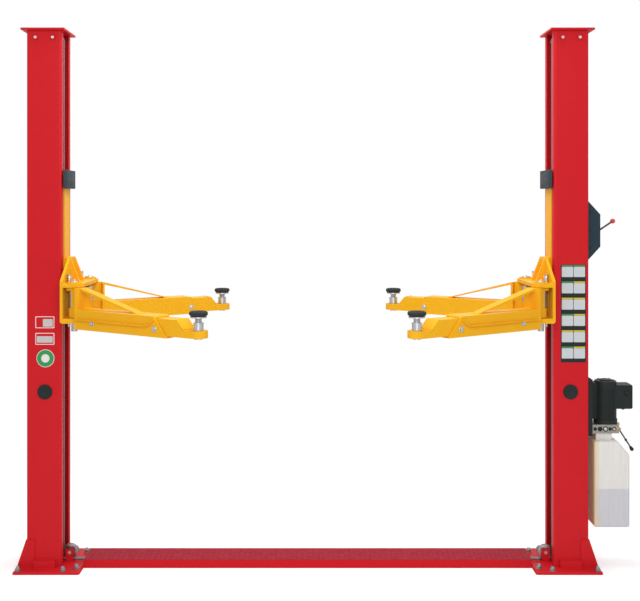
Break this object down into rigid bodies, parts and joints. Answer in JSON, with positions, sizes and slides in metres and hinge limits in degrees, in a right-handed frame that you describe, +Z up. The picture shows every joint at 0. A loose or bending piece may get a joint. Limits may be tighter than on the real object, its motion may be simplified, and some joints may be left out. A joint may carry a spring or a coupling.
{
  "type": "two post car lift",
  "caption": "Frame of two steel posts joined by a floor cover, with sliding carriages, swinging telescopic arms, round lifting pads and a side power unit.",
  "frame": {"origin": "on the floor, midway between the posts, at the centre of the four outermost anchor holes", "axes": "+X towards the post with the power unit, -Y towards the front, +Z up"},
  "size_m": [3.2867, 1.334, 2.85],
  "materials": {
    "red_paint": "powder coat, satin",
    "yellow_paint": "enamel, gloss",
    "cover_paint": "painted tread plate",
    "cover_dark": "satin",
    "motor_paint": "satin",
    "barrel_paint": "satin",
    "black_plastic": "moulded",
    "red_plastic": "moulded",
    "tank_plastic": "blow moulded",
    "slider_nylon": "cast nylon",
    "pulley_steel": "zinc plated",
    "cable_steel": "stranded wire",
    "pin_steel": "ground",
    "screw_zinc": "zinc plated",
    "handle_steel": "plated",
    "ram_chrome": "hard chrome",
    "block_aluminium": "machined",
    "bumper_rubber": "moulded",
    "pad_rubber": "moulded"
  },
  "bodies": {
    "posts": {"left_post": "red_paint", "left_base": "red_paint", "right_post": "red_paint", "right_base": "red_paint", "top_caps": "red_paint", "post_plugs": "black_plastic", "cylinder_barrels": "barrel_paint", "base_pulleys": "pulley_steel", "top_pulleys": "pulley_steel", "front_cable": "cable_steel", "rear_cable": "cable_steel", "floor_cover": "cover_paint", "lock_cover": "cover_dark", "power_unit_channel": "motor_paint", "valve_block": "block_aluminium", "motor": "motor_paint", "terminal_box": "black_plastic", "oil_tank": "tank_plastic"},
    "left_lift_carriage": {"left_carriage": "yellow_paint", "left_arm_pins": "pin_steel", "left_arm_locks": "pin_steel", "left_sliders": "slider_nylon", "left_bumper": "bumper_rubber"},
    "left_lift_ram": {"left_ram": "ram_chrome"},
    "left_front_swing": {"left_front_arm": "yellow_paint"},
    "left_front_reach": {"left_front_extension": "yellow_paint"},
    "left_front_pad": {"left_front_pad_screw": "screw_zinc", "left_front_pad_rubber": "pad_rubber"},
    "left_rear_swing": {"left_rear_arm": "yellow_paint"},
    "left_rear_reach": {"left_rear_extension": "yellow_paint"},
    "left_rear_pad": {"left_rear_pad_screw": "screw_zinc", "left_rear_pad_rubber": "pad_rubber"},
    "right_lift_carriage": {"right_carriage": "yellow_paint", "right_arm_pins": "pin_steel", "right_arm_locks": "pin_steel", "right_sliders": "slider_nylon", "right_bumper": "bumper_rubber"},
    "right_lift_ram": {"right_ram": "ram_chrome"},
    "right_front_swing": {"right_front_arm": "yellow_paint"},
    "right_front_reach": {"right_front_extension": "yellow_paint"},
    "right_front_pad": {"right_front_pad_screw": "screw_zinc", "right_front_pad_rubber": "pad_rubber"},
    "right_rear_swing": {"right_rear_arm": "yellow_paint"},
    "right_rear_reach": {"right_rear_extension": "yellow_paint"},
    "right_rear_pad": {"right_rear_pad_screw": "screw_zinc", "right_rear_pad_rubber": "pad_rubber"},
    "lock_release": {"lock_handle": "handle_steel", "lock_ball": "red_plastic"},
    "lowering_lever": {"valve_lever": "handle_steel", "valve_knob": "black_plastic"}
  },
  "joints": [
    {"name": "right_lift", "type": "slide", "parent": "posts", "child": "right_lift_carriage", "axis": [0, 0, 1], "range_m": [-1.2, 0.45]},
    {"name": "left_lift", "type": "slide", "parent": "posts", "child": "left_lift_carriage", "axis": [0, 0, 1], "range_m": [-1.2, 0.45]},
    {"name": "right_ram_stroke", "type": "slide", "parent": "posts", "child": "right_lift_ram", "axis": [0, 0, 1], "range_m": [-0.6, 0.225]},
    {"name": "left_ram_stroke", "type": "slide", "parent": "posts", "child": "left_lift_ram", "axis": [0, 0, 1], "range_m": [-0.6, 0.225]},
    {"name": "left_front_swing", "type": "hinge", "parent": "left_lift_carriage", "child": "left_front_swing", "pos_m": [-1.212, -0.17, 1.43], "axis": [0, 0, -1], "range_deg": [-33, 57]},
    {"name": "left_front_telescope", "type": "slide", "parent": "left_front_swing", "child": "left_front_reach", "axis": [0.8387, -0.5446, 0], "range_m": [0, 0.25]},
    {"name": "left_front_pad_lift", "type": "slide", "parent": "left_front_reach", "child": "left_front_pad", "axis": [0, 0, 1], "range_m": [0, 0.03]},
    {"name": "left_rear_swing", "type": "hinge", "parent": "left_lift_carriage", "child": "left_rear_swing", "pos_m": [-1.212, 0.17, 1.43], "axis": [0, 0, 1], "range_deg": [-33, 57]},
    {"name": "left_rear_telescope", "type": "slide", "parent": "left_rear_swing", "child": "left_rear_reach", "axis": [0.8387, 0.5446, 0], "range_m": [0, 0.25]},
    {"name": "left_rear_pad_lift", "type": "slide", "parent": "left_rear_reach", "child": "left_rear_pad", "axis": [0, 0, 1], "range_m": [0, 0.03]},
    {"name": "right_front_swing", "type": "hinge", "parent": "right_lift_carriage", "child": "right_front_swing", "pos_m": [1.212, -0.17, 1.43], "axis": [0, 0, 1], "range_deg": [-33, 57]},
    {"name": "right_front_telescope", "type": "slide", "parent": "right_front_swing", "child": "right_front_reach", "axis": [-0.8387, -0.5446, 0], "range_m": [0, 0.25]},
    {"name": "right_front_pad_lift", "type": "slide", "parent": "right_front_reach", "child": "right_front_pad", "axis": [0, 0, 1], "range_m": [0, 0.03]},
    {"name": "right_rear_swing", "type": "hinge", "parent": "right_lift_carriage", "child": "right_rear_swing", "pos_m": [1.212, 0.17, 1.43], "axis": [0, 0, -1], "range_deg": [-33, 57]},
    {"name": "right_rear_telescope", "type": "slide", "parent": "right_rear_swing", "child": "right_rear_reach", "axis": [-0.8387, 0.5446, 0], "range_m": [0, 0.25]},
    {"name": "right_rear_pad_lift", "type": "slide", "parent": "right_rear_reach", "child": "right_rear_pad", "axis": [0, 0, 1], "range_m": [0, 0.03]},
    {"name": "lock_release_turn", "type": "hinge", "parent": "posts", "child": "lock_release", "pos_m": [1.527, 0, 1.757], "axis": [0, 1, 0], "range_deg": [0, 16], "stiffness_Nm_per_rad": 0.5, "springref_deg": -28.65},
    {"name": "lowering_lever_turn", "type": "hinge", "parent": "posts", "child": "lowering_lever", "pos_m": [1.67, 0, 0.718], "axis": [0, -1, 0], "range_deg": [0, 25], "stiffness_Nm_per_rad": 0.5, "springref_deg": -17.19}
  ],
  "couplings": [
    {"joint": "left_lift", "follows": "right_lift", "ratio": 1},
    {"joint": "right_ram_stroke", "follows": "right_lift", "ratio": 0.5},
    {"joint": "left_ram_stroke", "follows": "right_lift", "ratio": 0.5}
  ]
}
